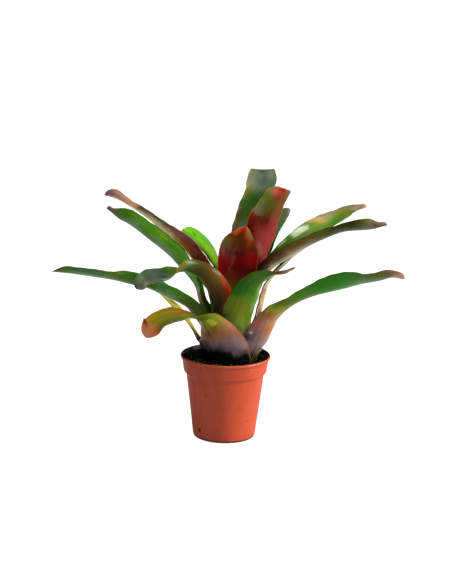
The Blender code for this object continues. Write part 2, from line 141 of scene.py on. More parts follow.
def cut(piece, bm):
    """Subtract a bmesh from a piece and remove the cutter."""
    tool = place(bm, "cutter", piece.data.materials[0])
    modifier = piece.modifiers.new("cut", "BOOLEAN")
    modifier.operation = "DIFFERENCE"
    modifier.solver = "EXACT"
    modifier.object = tool
    depsgraph = bpy.context.evaluated_depsgraph_get()
    mesh = bpy.data.meshes.new_from_object(piece.evaluated_get(depsgraph))
    piece.modifiers.clear()
    piece.data = mesh
    bpy.data.objects.remove(tool)


def round_hole(radius, depth):
    bm = bmesh.new()
    bmesh.ops.create_cone(bm, cap_ends=True, segments=32, radius1=radius, radius2=radius, depth=depth)
    return bm


# Moulded polypropylene is waxy and half matt: soft wide highlights, faint flow marks
plastic, tree, shader = finish(
    "moulded_polypropylene", Roughness=0.42, IOR=1.49, Specular_IOR_Level=0.4,
    Subsurface_Weight=0.04, Subsurface_Scale=0.004,
)
spot = add(tree, "TexCoord").outputs["Object"]
flow = add(tree, "Mapping", {"Vector": spot, "Scale": (60, 60, 22)})          # 17 mm wide, 45 mm tall
mottle = add(tree, "TexNoise", {"Vector": flow, "Scale": 1, "Detail": 4, "Roughness": 0.6})
color = add(tree, "ValToRGB", {0: mottle}, stops=[(0.38, TERRACOTTA_DEEP), (0.62, TERRACOTTA)])
rub = add(tree, "Mapping", {"Vector": spot, "Scale": (420, 420, 70), "Rotation": (0.3, 0.1, 0)})
rubbed = add(tree, "TexNoise", {"Vector": rub, "Scale": 1, "Detail": 3})
worn = add(tree, "MapRange", {0: rubbed, 1: 0.66, 2: 0.80, 3: 0.0, 4: 0.45})
scuffed = add(tree, "Mix", {0: worn, 6: color, 7: linear(TERRACOTTA_SCUFFED)}, data_type="RGBA")
# Splashed specks of peat, 1 to 2 mm, most of them up by the lip
grain = add(tree, "TexVoronoi", {"Vector": spot, "Scale": 160, "Randomness": 1.0})
near = add(tree, "MapRange", {0: grain, 1: 0.16, 2: 0.24, 3: 1.0, 4: 0.0})
pick = add(tree, "SeparateColor", {0: grain.outputs["Color"]})
height = add(tree, "SeparateXYZ", {0: spot})
high = add(tree, "MapRange", {0: height.outputs["Z"], 1: 0.088, 2: 0.108, 3: 0.985, 4: 0.88})
chosen = add(tree, "Math", {0: pick, 1: high}, operation="GREATER_THAN")
speck = add(tree, "Math", {0: near, 1: chosen}, operation="MULTIPLY")
specked = add(tree, "Mix", {0: speck, 6: scuffed, 7: linear(RED_BROWN)}, data_type="RGBA")
# Painted shadow: the bottom 1.5 to 4.5 mm of the pot are painted near black, standing in for the contact
# shadow under the foot
foot = add(tree, "MapRange", {0: height.outputs["Z"], 1: 0.0015, 2: 0.0045, 3: 0.95, 4: 0.0})
foot_shadowed = add(tree, "Mix", {0: foot, 6: specked, 7: linear(FOOT_PAINTED_SHADOW)}, data_type="RGBA")
# The inside wall is painted near black
inside_mark = add(tree, "Attribute", attribute_name="inside")
inside_darkened = add(tree, "MapRange", {0: inside_mark.outputs["Fac"], 1: 0.1, 2: 0.6, 3: 0.0, 4: 0.95})
skin = add(tree, "Mix", {0: inside_darkened, 6: foot_shadowed, 7: linear(INSIDE_WALL_DARK)}, data_type="RGBA")
# The grain is 0.7 mm, drawn coarser than the real one so that it shows
pores = add(tree, "TexNoise", {"Vector": spot, "Scale": 1400, "Detail": 2})
relief = add(tree, "Math", {0: pores, 1: 0.25, 2: mottle}, operation="MULTIPLY_ADD")
bump = add(tree, "Bump", {"Strength": 0.35, "Distance": 0.0004, "Height": relief})
wire(shader, {"Base Color": skin, "Normal": bump})


def wall_radius(height):
    share = (height - WALL_FOOT_HEIGHT) / (WALL_TOP_HEIGHT - WALL_FOOT_HEIGHT)
    return WALL_FOOT_RADIUS + (WALL_TOP_RADIUS - WALL_FOOT_RADIUS) * share


low, high = HOLE_RINGS
outside = [
    (0, 0), (FOOT_RADIUS, 0), (FOOT_RADIUS + 1.6, 0.6), (WALL_FOOT_RADIUS - 0.5, 2.0),
    (WALL_FOOT_RADIUS, WALL_FOOT_HEIGHT), (wall_radius(low), low), (wall_radius(high), high),
    (WALL_TOP_RADIUS, WALL_TOP_HEIGHT), (WALL_TOP_RADIUS + 0.9, WALL_TOP_HEIGHT + 2.2),
    (BAND_FOOT_RADIUS - 1.2, BAND_FOOT_HEIGHT - 2.0), (BAND_FOOT_RADIUS, BAND_FOOT_HEIGHT),
    (BAND_TOP_RADIUS, POT_HEIGHT - LIP_DEPTH),
    (LIP_RADIUS - 0.8, POT_HEIGHT - LIP_DEPTH + 1.8), (LIP_RADIUS, POT_HEIGHT - 2.6),
    (LIP_RADIUS - 0.2, POT_HEIGHT - 0.8), (LIP_RADIUS - 1.0, POT_HEIGHT),
]
inside = [
    (LIP_RADIUS - 1.8, POT_HEIGHT - 0.3), (LIP_RADIUS - 2.3, POT_HEIGHT - 1.6),
    (BAND_TOP_RADIUS - POT_WALL, POT_HEIGHT - LIP_DEPTH - 0.6),
    (BAND_FOOT_RADIUS - POT_WALL, BAND_FOOT_HEIGHT),
    (WALL_TOP_RADIUS - POT_WALL, WALL_TOP_HEIGHT - 0.5),
    (WALL_FOOT_RADIUS - POT_WALL, WALL_FOOT_HEIGHT + 1.5),
    (WALL_FOOT_RADIUS - POT_WALL - 2.0, POT_FLOOR), (0, POT_FLOOR),
]
bm = bmesh.new()
# the inside faces are marked, so that they can be painted near black
inside_layer = bm.verts.layers.float.new("inside")
points = [bm.verts.new((r, 0, z)) for r, z in outside + inside]
for point in points[len(outside):]:
    point[inside_layer] = 1.0
edges = [bm.edges.new(pair) for pair in zip(points, points[1:])]
bmesh.ops.spin(
    bm, geom=points + edges, cent=(0, 0, 0), axis=(0, 0, 1), angle=math.tau, steps=POT_SIDES,
    use_merge=True,
)
bmesh.ops.remove_doubles(bm, verts=bm.verts, dist=0.001)
bmesh.ops.recalc_face_normals(bm, faces=bm.faces)
creases = [e for e in bm.edges if e.is_manifold and e.calc_face_angle() > math.radians(14)]
bmesh.ops.bevel(
    bm, geom=creases, offset=MOULD_ROUNDING, offset_type="OFFSET", segments=3, profile=0.5,
    affect="EDGES", material=-1, clamp_overlap=True,
)
pot = place(bm, "terracotta_pot", plastic)
for i in range(DRAIN_HOLES):
    bm = round_hole(DRAIN_RADIUS, 4 * POT_FLOOR)
    turn = math.radians(DRAIN_AZIMUTH + 360 * i / DRAIN_HOLES)
    middle = (DRAIN_CIRCLE * math.cos(turn), DRAIN_CIRCLE * math.sin(turn), POT_FLOOR / 2)
    bmesh.ops.translate(bm, vec=middle, verts=bm.verts)
    cut(pot, bm)
for azimuth in (SIDE_HOLE_AZIMUTH, SIDE_HOLE_AZIMUTH + 180):
    bm = round_hole(SIDE_HOLE_WIDTH / 2, 10 * POT_WALL)
    bmesh.ops.scale(bm, vec=(SIDE_HOLE_LENGTH / SIDE_HOLE_WIDTH, 1, 1), verts=bm.verts)
    bmesh.ops.rotate(bm, matrix=Matrix.Rotation(math.pi / 2, 3, "Y"), verts=bm.verts)
    bmesh.ops.translate(bm, vec=(WALL_FOOT_RADIUS, 0, SIDE_HOLE_HEIGHT), verts=bm.verts)
    bmesh.ops.rotate(bm, matrix=Matrix.Rotation(math.radians(azimuth), 3, "Z"), verts=bm.verts)
    cut(pot, bm)
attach(pot, "root")
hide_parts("pot")

# Potting mix. Moist peat and fine bark, near black, filled to just under the lip and pressed
# round the plant. Its top is lumpy, with loose crumbs, a few pale grains of perlite and some
# moss. The body is a stack of rings that shift from the pot's centre to the plant's.
PLANT_X = 7.0
PLANT_Y = 6.0
STEM_FOOT = 70.0
STEM_TOP = 132.0
STEM_FOOT_RADIUS = 9.0
STEM_TOP_RADIUS = 2.8
MIX_HEIGHT = 106.0
MIX_RELIEF = 1.6
MIX_SIDES = 240
TOP_RINGS = 34
PIT_RINGS = 10
CRUMBS = 900
CRUMB_SIZES = (0.5, 1.9)
PERLITE = 16
PERLITE_SIZE = 1.1
MOSS_TUFTS = 85
MOSS_LEAVES = 16
MOSS_LENGTH = 2.4
MOSS_SPREAD = 2.3
dice = np.random.default_rng(7)

LEAF_THICKNESS = 0.9
HEART_BASE_HEIGHT = 127.0
BASE_STEP = 2.35
HEART_RADIUS = 9.0
RADIUS_STEP = 1.75
HEART_SHEATH_HEIGHT = 155.0
SHEATH_STEP = 2.1
LEAVES_IN_ROSETTE = 20


def through(keys, places):
    """A smooth curve through keys (place, value, ...), read at the given places."""
    keys = np.array(sorted(keys), float)
    x, y = keys[:, 0], keys[:, 1:]
    before = np.maximum(np.arange(len(x)) - 1, 0)
    after = np.minimum(np.arange(len(x)) + 1, len(x) - 1)
    slope = (y[after] - y[before]) / (x[after] - x[before])[:, None]
    j = np.clip(np.searchsorted(x, places, side="right") - 1, 0, len(x) - 2)
    span = (x[j + 1] - x[j])[:, None]
    t = (places - x[j])[:, None] / span
    start = (2 * t**3 - 3 * t**2 + 1) * y[j] + (t**3 - 2 * t**2 + t) * span * slope[j]
    end = (3 * t**2 - 2 * t**3) * y[j + 1] + (t**3 - t**2) * span * slope[j + 1]
    return start + end


def even_path(points, rows):
    """The smooth path through the points: rows + 1 points evenly along it, and its length."""
    points = np.array(points, float)
    steps = np.sqrt(np.linalg.norm(np.diff(points, axis=0), axis=1))
    knots = np.concatenate([[0], np.cumsum(steps)])
    fine = through([(k, *p) for k, p in zip(knots, points)], np.linspace(0, knots[-1], 6000))
    run = np.concatenate([[0], np.cumsum(np.linalg.norm(np.diff(fine, axis=0), axis=1))])
    wanted = np.linspace(0, run[-1], rows + 1)
    return np.stack([np.interp(wanted, run, fine[:, i]) for i in range(3)], axis=1), run[-1]


def unit(vectors):
    return vectors / np.linalg.norm(vectors, axis=-1, keepdims=True)


def sheath_points(rank):
    """Where a leaf of this rank leaves the stem and runs up: (out, side, up)."""
    base = HEART_BASE_HEIGHT - BASE_STEP * rank
    stem = np.interp(base, (STEM_FOOT, STEM_TOP), (STEM_FOOT_RADIUS, STEM_TOP_RADIUS))
    inner = stem + GAP + 0.7 * LEAF_THICKNESS
    outer = HEART_RADIUS + RADIUS_STEP * rank
    top = HEART_SHEATH_HEIGHT - SHEATH_STEP * rank
    belly = (inner + 0.72 * (outer - inner), 0, base + 0.32 * (top - base))
    return [(inner, 0, base), belly, (outer, 0, top)]


def lumps(x, y):
    """Height of the mix above its mean level: broad lumps, as pressed by hand."""
    return MIX_RELIEF * 0.65 * (
        math.sin(0.31 * x + 1.7) * math.cos(0.27 * y) + 0.5 * math.sin(0.53 * y + 0.41 * x)
    )


def closed_rings(bm, rings, sides):
    """A grid bent into a stack of rings (centre x, centre y, radius, height), closed all round."""
    bmesh.ops.create_grid(bm, x_segments=sides, y_segments=len(rings) - 1, size=0.5)
    for vert in bm.verts:
        turn = (vert.co.x + 0.5) * math.tau
        x, y, radius, z = rings[round((vert.co.y + 0.5) * (len(rings) - 1))]
        vert.co = (x + radius * math.cos(turn), y + radius * math.sin(turn), z)
    bmesh.ops.remove_doubles(bm, verts=bm.verts, dist=0.001)
    bmesh.ops.dissolve_degenerate(bm, edges=bm.edges, dist=0.0005)


# Moist peat drinks light: near black, rough, with a green cast where algae grow
peat, tree, shader = finish("moist_peat", Roughness=0.9, IOR=1.35, Specular_IOR_Level=0.25)
spot = add(tree, "TexCoord").outputs["Object"]
fibre = add(tree, "TexNoise", {"Vector": spot, "Scale": 500, "Detail": 6, "Roughness": 0.7})    # 2 mm
dark = add(tree, "ValToRGB", {0: fibre}, stops=[(0.35, "#050505"), (0.55, "#12100B"), (0.75, "#2A2114")])
algae = add(tree, "TexNoise", {"Vector": spot, "Scale": 130, "Detail": 3})                      # 8 mm
green = add(tree, "MapRange", {0: algae, 1: 0.5, 2: 0.7, 3: 0.0, 4: 0.6})
cast = add(tree, "Mix", {0: green, 6: dark, 7: linear("#0D2412")}, data_type="RGBA")
bump = add(tree, "Bump", {"Strength": 0.8, "Distance": 0.0006, "Height": fibre})
wire(shader, {"Base Color": cast, "Normal": bump})

sheath = even_path(sheath_points(LEAVES_IN_ROSETTE - 1), PIT_RINGS)[0]
slope = unit(np.gradient(sheath[:, [0, 2]], axis=0))
room = LEAF_THICKNESS / 2 + 2 * GAP
pit = [(r + room * s[1], z - room * s[0]) for (r, _, z), s in zip(sheath, slope)]
pit = [(r, z) for r, z in pit if z < MIX_HEIGHT]
radii, heights = sheath[:, 0] + room * slope[:, 1], sheath[:, 2] - room * slope[:, 0]
pit_edge = float(np.interp(MIX_HEIGHT, heights, radii))
pit = [(0, STEM_FOOT - GAP), (STEM_FOOT_RADIUS + GAP, STEM_FOOT - GAP)] + pit
mix_edge = BAND_TOP_RADIUS - POT_WALL - GAP
wall = [(0, POT_FLOOR + GAP)] + [(r - GAP, z) for r, z in reversed(inside[3:-1])]
rings = [(0, 0, r, z) for r, z in wall]
for i in range(TOP_RINGS + 1):
    inward = i / TOP_RINGS
    radius = mix_edge + (pit_edge - mix_edge) * inward
    rings.append((PLANT_X * inward, PLANT_Y * inward, radius, MIX_HEIGHT))
rings += [(PLANT_X, PLANT_Y, r, z) for r, z in reversed(pit)]
bm = bmesh.new()
closed_rings(bm, rings, MIX_SIDES)
for vert in bm.verts:
    if vert.co.z == MIX_HEIGHT:
        x, y, z = vert.co
        grit = noise.fractal(Vector((x, y, 0)) / 3.0, 0.8, 2.1, 4)
        vert.co.z = z + lumps(x, y) + 0.9 * grit
bmesh.ops.recalc_face_normals(bm, faces=bm.faces)
mix = place(bm, "peat_mix", peat, sharp=180)
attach(mix, "root")
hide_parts("potting_mix")


def on_the_mix(edge=1.0):
    """A random point on the open ring of mix between the plant and the pot."""
    while True:
        x, y = dice.uniform(-mix_edge, mix_edge, 2)
        clear_of_pot = math.hypot(x, y) < mix_edge - edge
        if clear_of_pot and math.hypot(x - PLANT_X, y - PLANT_Y) > pit_edge - 0.3:
            return x, y, MIX_HEIGHT + lumps(x, y)


def turned_anyhow():
    return Matrix.Rotation(dice.uniform(0, math.tau), 4, Vector(dice.normal(size=3)).normalized())


bm = bmesh.new()
for _ in range(CRUMBS):
    size = dice.uniform(*CRUMB_SIZES) * dice.uniform(0.6, 1.0)
    stretch = Matrix.Diagonal((size, size * dice.uniform(0.4, 0.9), size * dice.uniform(0.4, 0.8), 1))
    seat = Matrix.Translation(on_the_mix(edge=1.6)) @ turned_anyhow() @ stretch
    crumb = bmesh.ops.create_icosphere(bm, subdivisions=1, radius=0.75, matrix=seat)
    for vert in crumb["verts"]:
        vert.co += Vector(dice.normal(0, 0.13 * size, 3))
crumbs = place(bm, "bark_crumbs", peat, sharp=30)
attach(crumbs, "root")

# Perlite is expanded volcanic glass: chalky, off-white, dusty with peat
perlite, tree, shader = finish("perlite", Roughness=0.95)
spot = add(tree, "TexCoord").outputs["Object"]
dust = add(tree, "TexNoise", {"Vector": spot, "Scale": 900, "Detail": 3})
pale = add(tree, "ValToRGB", {0: dust}, stops=[(0.4, "#4A4A40"), (0.6, "#A8A898")])
wire(shader, {"Base Color": pale})
bm = bmesh.new()
for _ in range(PERLITE):
    seat = Matrix.Translation(on_the_mix(edge=2.0)) @ turned_anyhow()
    radius = PERLITE_SIZE * dice.uniform(0.4, 0.8)
    grain = bmesh.ops.create_icosphere(bm, subdivisions=2, radius=radius, matrix=seat)
    for vert in grain["verts"]:
        vert.co += Vector(dice.normal(0, 0.08, 3))
grains = place(bm, "perlite_grains", perlite)
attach(grains, "root")

# Cushion moss: each tuft a burst of thin pointed leaves
moss_green, tree, shader = finish("moss", Roughness=0.7)
spot = add(tree, "TexCoord").outputs["Object"]
hue = add(tree, "TexNoise", {"Vector": spot, "Scale": 260, "Detail": 2})
tint = add(tree, "ValToRGB", {0: hue}, stops=[(0.35, "#0C3210"), (0.55, "#1A5416"), (0.7, "#3C7A24")])
wire(shader, {"Base Color": tint})
bm = bmesh.new()
for _ in range(MOSS_TUFTS):
    x, y, z = on_the_mix(edge=3.0)
    for _ in range(MOSS_LEAVES):
        foot = Vector((x, y, z - 0.4)) + Vector((*dice.normal(0, MOSS_SPREAD * 0.35, 2), 0))
        lean = Vector((*dice.normal(0, 0.6, 2), 1)).normalized()
        length = MOSS_LENGTH * dice.uniform(0.4, 1.0)
        aim = Vector((0, 0, 1)).rotation_difference(lean).to_matrix().to_4x4()
        seat = Matrix.Translation(foot + lean * length / 2) @ aim
        bmesh.ops.create_cone(
            bm, cap_ends=True, segments=3, radius1=0.32, radius2=0.02, depth=length, matrix=seat,
        )
for vert in bm.verts:
    reach = math.hypot(vert.co.x, vert.co.y)
    if reach > mix_edge - 0.5:
        vert.co.xy *= (mix_edge - 0.5) / reach
moss = place(bm, "moss_tufts", moss_green)
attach(moss, "root")

# Stem. The short woody stock that every leaf grows from, pale tan with rings of leaf scars. It
# stands in the pit in the mix, hidden by the sheaths. The solid's own shape stays.
stock, tree, shader = finish("stem_bark", Roughness=0.75)
spot = add(tree, "TexCoord").outputs["Object"]
scars = add(
    tree, "TexWave", {"Vector": spot, "Scale": 65, "Distortion": 3, "Detail": 2}, bands_direction="Z",
).outputs["Fac"]
tan = add(tree, "ValToRGB", {0: scars}, stops=[(0.1, "#6A5A38"), (0.5, "#C0B184")])
bump = add(tree, "Bump", {"Strength": 0.6, "Distance": 0.0005, "Height": scars})
wire(shader, {"Base Color": tan, "Normal": bump})
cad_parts["stem"].material_slots[0].material = stock

# Leaves. Strap-shaped leathery blades in a rosette. Each grows from the stem as a sheath wrapped
# round the ones inside it, then opens to a channelled blade with small hooked spines on its
# margins and a dried point. The young leaves at the heart have coloured up red, the outer ones
# are green or bronze. They follow the formulas of the solids they stand for, with many more
# points, thin margins, ruffles, spines and points.
LEAF_STEP = 2.5               # length of one row of faces along a leaf
LEAF_COLUMNS = 20             # faces across a leaf
NARROWEST = 0.6
TIP_ROUNDING = 0.4            # an end is rounded off over this share of its half width
MARGIN_THICKNESS = 0.4
RUFFLE = 0.45                 # how far the free margins wave, up and down
RUFFLED_FROM = 6.0            # narrower halves than this are ruffled less
SPINE_SPACING = 4.6
SPINE_LENGTH = 1.0
SPINE_RADIUS = 0.28
POINT_LENGTH = 1.6
POINT_RADIUS = 0.8

PIGMENTS = dict(
    lime="#62AE18", acid="#8AC418", meadow="#4C8A10", emerald="#2A8204", leaf="#3F6E12", moss="#4C6A1C",
    fern="#5E7A2C", avocado="#5E6C0A", bottle="#225C06", forest="#2A4A14", sea="#48784A",
    sage="#8AAC78", celadon="#B0CC9C", lichen="#53604A", slate="#333E35", sulphur="#DCD44C",
    citron="#8A9420", olive="#57581A", drab="#3A380C", khaki="#6C684A", amber="#756008",
    orange="#85570A", bronze="#5A4410", brown="#4C3210", umber="#241608", ink="#040A0C",
    chestnut="#451C03", russet="#641F06", rust="#8A3E12", copper="#94582E", taupe="#5C4A36",
    maroon="#420A05", blood="#580403", carmine="#8C0605", crimson="#A83A34", rose="#C64C46",
    scarlet="#943418", salmon="#C08A78", clay="#8C6250", mauve="#7E6668", plum="#4E3A3C", tan="#A8854E",
    straw="#B9AC80", cream="#CFC6A0", bone="#DAD8C4", grey="#9CA388", ash="#504A47",
)

# From the heart outwards. spine: points that the leaf's middle passes, as (distance from the
# plant's axis, height, sideways drift). half: half the width, cup: degrees that each half is
# curled up, roll: degrees that the blade is turned about its own length, each in pairs of a
# percentage of the length and a value. opens: heights above the sheath between which the sheath
# turns into the blade. margin: pigment of the edge, nicks: how ragged the edge is, point: length
# of the dried point, specks: share of the freckles that show. upper and lower: each face's
# pigments from foot to tip along its middle, with _left and _right for its sides, left being to
# the left of one who looks out along the leaf. _patches: (share of the length, side from -1 to 1,
# half length, half width, pigment, strength).
# Some stops are painted light. Ink near a leaf's foot is painted shade, where the leaves close round
# each other over the mix; the pale, grey and white stops and patches noted below are painted highlights
# and reflections.
LEAVES = [
    dict(
        name="heart_leaf", slot="green_leaf", azimuth=-60, opens=(40, 90),
        spine=[(9.5, 170), (11, 183), (14, 193)],
        half="0 5, 30 8, 60 11, 85 9, 100 1.5", cup="0 40, 60 60, 100 40",
        upper="20 citron, 70 blood, 100 carmine", lower="20 citron, 60 leaf, 90 crimson, 100 russet",
    ),
    dict(
        name="inner_red_leaf", slot="red_leaf", azimuth=100, opens=(25, 75),
        spine=[(12, 188, -2), (17, 219.5, -6), (22.5, 245, -10), (27, 261.5, -16), (30.5, 277, -23)],
        half="0 6, 30 12, 50 25.5, 66 31.5, 82 27.5, 95 12.5, 100 3", cup="0 40, 60 60, 100 25",
        margin="rust",
        upper="30 citron, 44 olive, 50 bronze, 56 russet, 63 blood, 70 blood, 77 maroon, 83 chestnut, "
        "89 chestnut, 94 russet, 100 rust",
        upper_left="50 russet, 60 blood, 71 blood, 77 maroon, 83 drab, 89 chestnut, 94 rust, 100 clay",
        upper_right="56 umber, 63 maroon, 70 carmine, 78 carmine, 84 russet, 91 rust, 100 tan",
        upper_patches=[
            (0.97, 0.25, 0.035, 0.7, "carmine", 0.7), (0.7, 0.14, 0.14, 0.09, "clay", 0.12),
            (0.66, 0.62, 0.012, 0.06, "ink", 0.8),
        ],
        lower="20 citron, 50 leaf, 75 olive, 90 crimson, 100 rust",
    ),
    dict(
        name="tall_red_leaf", slot="red_leaf", azimuth=65, opens=(25, 75),
        spine=[
            (17, 185, -4), (32.5, 222, -10.5), (46, 258, -18), (56.5, 289.5, -22), (66.5, 313, -29.5),
            (73, 322, -34), (79.5, 326, -36.5),
        ],
        half="0 6, 25 12, 45 18.5, 70 24, 90 18, 100 15", cup="0 40, 50 50, 100 10", margin="orange",
        nicks=0.9, point=4,
        upper="42 umber, 50 maroon, 56 crimson, 70 crimson, 76 russet, 82 bronze, 88 olive, 94 rust, "
        "100 carmine",
        upper_left="70 blood, 77 russet, 83 khaki, 89 moss, 94 olive, 100 rust",
        upper_right="50 maroon, 55 crimson, 60 rose, 76 rose, 83 copper, 92 copper, 100 clay",
        # The salmon and grey patches are painted highlights; the crimson one by the tip is the leaf's
        # own colour.
        upper_patches=[
            (0.59, -0.1, 0.04, 0.5, "salmon", 0.4), (0.8, 0.62, 0.04, 0.3, "grey", 0.12),
            (0.95, 0.3, 0.035, 0.4, "crimson", 0.6),
        ],
        lower="20 citron, 50 leaf, 80 olive, 93 crimson, 100 russet",
    ),
    dict(
        name="tall_green_leaf", slot="green_leaf", azimuth=95, opens=(25, 75),
        spine=[
            (21.5, 185, -4), (39.5, 234.5, -12), (51, 271, -19), (60.5, 302, -28.5), (66.5, 323, -39),
            (72.5, 338, -44), (83, 346, -46), (98.5, 340.5, -45.5),
        ],
        half="0 6, 25 12, 50 18.5, 75 16, 88 19.5, 96 12.5, 100 2", cup="0 40, 50 45, 100 5",
        margin="olive", nicks=0.9,
        # Lichen and slate from 83 percent to the tip, and lichen near the tip on both sides, are a
        # painted reflection: the grey-blue sheen of the bright room on the glossy face.
        upper="40 olive, 60 lichen, 66 forest, 77 forest, 83 lichen, 89 slate, 100 lichen",
        upper_left="68 drab, 73 forest, 78 olive, 83 khaki, 88 lichen, 100 olive",
        upper_right="78 forest, 87 lichen, 100 khaki",
        lower="20 citron, 50 leaf, 85 lichen, 100 bronze",
    ),
    dict(
        name="rear_right_leaf", slot="green_leaf", azimuth=55, opens=(20, 60),
        spine=[
            (23, 180.5), (44, 218.5, -5), (61.5, 246, -9), (76.5, 271, -12), (89.5, 287.5, -19),
            (98.5, 297, -18),
        ],
        half="0 6, 25 11, 60 16.5, 85 12.5, 100 6.5", cup="0 40, 60 40, 100 10", margin="bronze",
        upper="40 bottle, 70 leaf, 85 sage, 100 khaki",
        upper_right="60 copper, 66 moss, 72 leaf, 77 emerald, 81 sage, 90 sage, 100 grey",
        lower="20 citron, 50 leaf, 90 olive, 100 bronze",
    ),
    dict(
        name="lime_leaf", slot="lime_leaf", azimuth=118, opens=(20, 60),
        spine=[
            (23, 176), (30, 202.5), (43.5, 226, 3.5), (63, 244, 8), (83, 258.5, 16), (96.5, 265, 24.5),
        ],
        half="0 6, 25 9, 40 8, 55 3, 70 9, 85 11.5, 100 9", cup="0 40, 60 30, 100 15", margin="lime",
        upper="30 citron, 58 meadow, 64 acid, 72 acid, 80 lime",
        # The dark run along the left side, ink through olive from 62 to 82 percent, is painted shade.
        upper_left="62 ink, 68 umber, 74 drab, 82 olive, 88 moss, 94 meadow, 100 moss",
        upper_patches=[(0.905, -0.05, 0.014, 0.16, "bottle", 0.8)],
        lower="20 citron, 60 lime",
    ),
    dict(
        name="upper_right_leaf", slot="green_leaf", azimuth=32, opens=(5, 45),
        spine=[
            (25, 172), (39.5, 206.5, 0.5), (64.5, 238, 1.5), (86.5, 253, -2), (111.5, 264.5, -3),
            (160.5, 281.5, -3.5), (186, 290.5, -1), (213, 295.5, -1.5),
        ],
        half="0 7, 15 18.5, 32 3.5, 70 18.5, 88 10.5, 95 5.5, 100 3.5", cup="0 40, 35 40, 100 25",
        roll="0 0, 40 -14, 70 11, 100 37", margin="umber",
        upper="30 citron, 42 forest, 50 moss, 64 moss, 70 fern, 76 fern, 82 leaf, 89 olive, 95 khaki, "
        "98 taupe, 100 clay",
        # Sage at 64 percent on the left is a painted sheen.
        upper_left="58 moss, 64 sage, 70 moss, 75 tan, 82 khaki, 88 olive, 94 taupe, 100 clay",
        upper_right="50 brown, 60 moss, 76 leaf, 84 moss, 90 olive, 95 khaki, 98 taupe, 100 clay",
        # The bone and celadon patches are painted highlights; the tan one is the leaf's own colour.
        upper_patches=[
            (0.645, 0.6, 0.04, 0.45, "bone", 0.5), (0.54, 0.75, 0.02, 0.25, "celadon", 0.5),
            (0.75, 0.4, 0.025, 0.35, "tan", 0.4),
        ],
        lower="20 citron, 40 olive, 60 leaf, 90 meadow, 100 clay",
    ),
    dict(
        name="upper_left_leaf", slot="bronze_leaf", azimuth=157, opens=(5, 45),
        spine=[
            (28, 175), (41, 216), (57.5, 238, 0.5), (77, 255.5, 0.5), (97.5, 267.5, 1),
            (119.5, 281.5, -1.5), (142, 293.5, -2.5), (176, 310, -1), (188, 310.5, 3),
        ],
        half="0 7, 15 16, 32 14.5, 55 19.5, 75 11, 90 8, 97 10, 100 6", cup="0 40, 35 50, 100 35",
        roll="0 0, 38 -3, 52 -4, 80 -7, 100 -24", margin="straw", point=3,
        upper="35 umber, 46 chestnut, 57 brown, 63 khaki, 75 khaki, 82 olive, 87 clay, 94 taupe, "
        "100 plum",
        upper_left="40 umber, 55 bronze, 62 khaki, 72 straw, 82 straw, 90 clay, 100 mauve",
        upper_right="40 umber, 45 russet, 50 chestnut, 64 chestnut, 72 umber, 83 umber, 87 clay, "
        "94 clay, 100 plum",
        lower="20 citron, 30 olive, 45 citron, 60 leaf, 80 celadon, 95 clay, 100 plum",
    ),
    dict(
        name="middle_right_leaf", slot="bronze_leaf", azimuth=-15, opens=(10, 70),
        spine=[
            (28, 172.5), (37, 203), (45, 222, -0.5), (59, 236.5, -4), (77, 249, -4.5),
            (101.5, 266.5, -4), (126.5, 280.5, -3.5), (147, 289, -2.5), (173.5, 293, 1),
            (201.5, 300, 6.5),
        ],
        half="0 7, 15 18, 32 16, 50 31, 65 23, 78 16, 91 24, 97 7, 100 4",
        cup="0 40, 30 22, 50 50, 100 40", roll="0 0, 60 -11, 75 -22, 90 -22, 100 -49", margin="umber",
        upper="20 olive, 45 brown, 65 bronze, 90 olive, 100 clay",
        lower="20 citron, 40 umber, 45 tan, 50 straw, 60 straw, 68 khaki, 76 olive, 82 lichen, "
        "90 lichen, 96 taupe, 100 clay",
        # Ink and umber at 40 to 45 percent on the lower face's right are painted shade at the leaf's
        # foot.
        lower_right="40 ink, 45 umber, 49 chestnut, 54 brown, 60 bronze, 66 bronze, 72 olive, 85 drab, "
        "92 olive, 96.5 taupe, 100 clay",
        lower_patches=[(0.6, -0.5, 0.1, 0.12, "clay", 0.6)],
    ),
    dict(
        name="arching_leaf", slot="bronze_leaf", azimuth=-128, opens=(5, 45),
        spine=[
            (31.5, 168, 1), (33, 190, 1.5), (39, 209.5, -1.5), (47, 225, -7), (59, 232.5, -19.5),
            (76, 231, -28), (92.5, 227.5, -34.5), (108.5, 228, -38), (123.5, 230.5, -38),
            (135, 226.5, -41), (141, 217, -39),
        ],
        half="0 7, 16 13, 28 13.5, 42 22.5, 52 17, 64 15.5, 75 16.5, 90 13, 100 6.5",
        cup="0 40, 20 30, 32 35, 45 52, 60 85, 70 70, 85 25, 100 10",
        roll="0 0, 37 -10, 50 28, 61 60, 71 19, 81 -21, 100 -27", margin="olive",
        # Lichen, sage and slate from about 77 percent to the tip are a painted reflection: the
        # grey-green sheen of the bright room on the glossy top face.
        upper="50 bronze, 70 moss, 77 lichen, 82 slate, 92 slate, 100 lichen",
        upper_left="60 leaf, 78 sage, 84 slate, 92 taupe, 100 khaki",
        upper_right="60 olive, 70 moss, 77 forest, 84 slate, 94 forest, 100 slate",
        upper_patches=[(0.95, -0.5, 0.02, 0.35, "moss", 0.3), (0.955, 0.75, 0.03, 0.3, "clay", 0.5)],
        # Ink at 33 percent is painted shade at the leaf's foot.
        lower="22 drab, 30 forest, 33 ink, 37 umber, 42 brown, 50 bronze, 57 drab, 65 forest, "
        "72 lichen, 80 slate",
        lower_left="30 forest, 35 bronze, 40 russet, 44 russet, 49 bronze, 55 brown, 62 drab, "
        "70 olive, 100 slate",
        lower_right="30 drab, 34 forest, 40 olive, 55 olive, 62 moss, 100 lichen",
        lower_patches=[
            (0.45, 0.95, 0.065, 0.42, "scarlet", 0.95), (0.42, 0.85, 0.03, 0.25, "carmine", 0.4),
            (0.7, -0.3, 0.02, 0.35, "sage", 0.25),
        ],
    ),
    dict(
